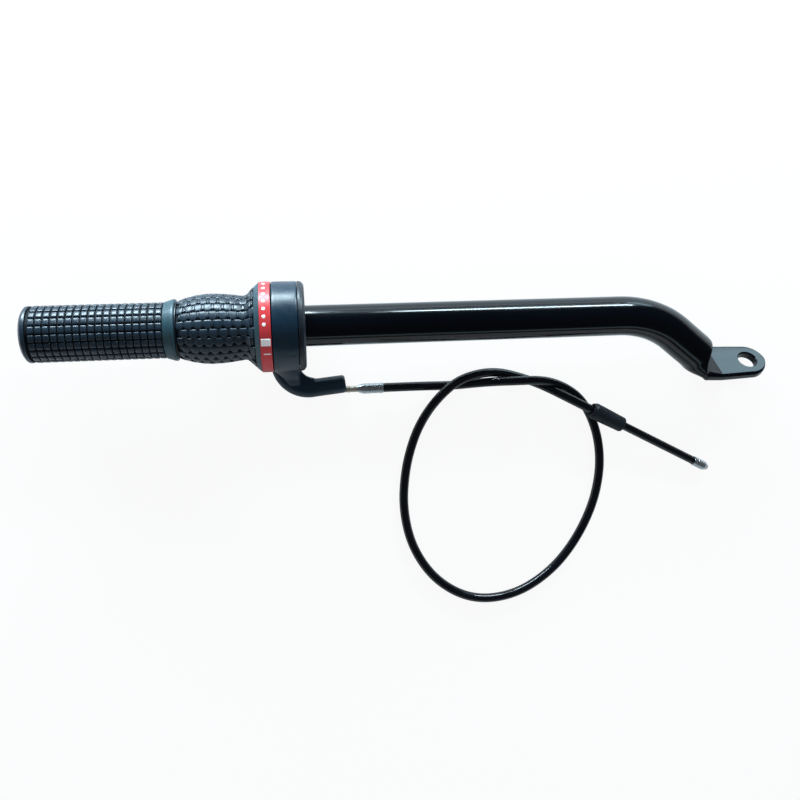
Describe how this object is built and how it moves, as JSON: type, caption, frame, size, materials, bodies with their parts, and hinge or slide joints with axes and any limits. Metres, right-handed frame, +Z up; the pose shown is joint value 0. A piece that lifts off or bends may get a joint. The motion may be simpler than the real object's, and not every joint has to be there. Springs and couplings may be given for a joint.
{
  "type": "twist throttle handle",
  "caption": "Twist grip throttle on a bent steel tube with a pivot lug, with a red index band, a cable guide arm and a looped control cable ending in a plain ferrule.",
  "frame": {"origin": "centre of the handle's footprint, on the surface it lies on", "axes": "+X along the bar from the hand grip to the pivot lug, +Z up, the cable lies on the -Y side"},
  "size_m": [0.4151, 0.1922, 0.048],
  "materials": {
    "gloss_black_paint": "gloss",
    "grip_rubber": "satin moulded",
    "black_plastic": "satin moulded",
    "red_band": "satin",
    "brass": "pale plated",
    "zinc_steel": "zinc plated",
    "silver_ferrule": "bright",
    "cable_jacket": "smooth extruded",
    "boot_rubber": "matte"
  },
  "bodies": {
    "frame": {"tiller_tube": "gloss_black_paint", "pivot_lug": "gloss_black_paint", "fixed_grip": "grip_rubber", "grip_collar": "black_plastic", "thrust_washer": "black_plastic", "housing": "black_plastic", "housing_cover": "black_plastic", "cover_screws": "zinc_steel", "disc_spring": "zinc_steel", "set_screw": "zinc_steel", "inner_wire": "zinc_steel", "cable_neck": "brass", "cable_ferrule": "silver_ferrule", "cable_sheath": "cable_jacket", "end_tube": "cable_jacket", "tip_ferrule": "silver_ferrule"},
    "twist_grip": {"twist_barrel": "black_plastic", "twist_cover": "grip_rubber", "indicator_band": "red_band", "drum_nipple": "brass", "drum_wire": "zinc_steel"},
    "wire": {"wire_end": "zinc_steel"},
    "boot": {"dust_boot": "boot_rubber"}
  },
  "joints": [
    {"name": "throttle_twist", "type": "hinge", "parent": "frame", "child": "twist_grip", "pos_m": [-0.1, 0.0085, 0.024], "axis": [1, 0, 0], "range_deg": [0, 75]},
    {"name": "wire_pull", "type": "slide", "parent": "frame", "child": "wire", "axis": [-0.8819, 0.4621, 0.0935], "range_m": [0, 0.024]},
    {"name": "boot_slide", "type": "slide", "parent": "frame", "child": "boot", "axis": [0.8819, -0.4621, -0.0935], "range_m": [0, 0.03]}
  ],
  "couplings": [
    {"joint": "wire_pull", "follows": "throttle_twist", "m_per_rad": 0.0182}
  ]
}
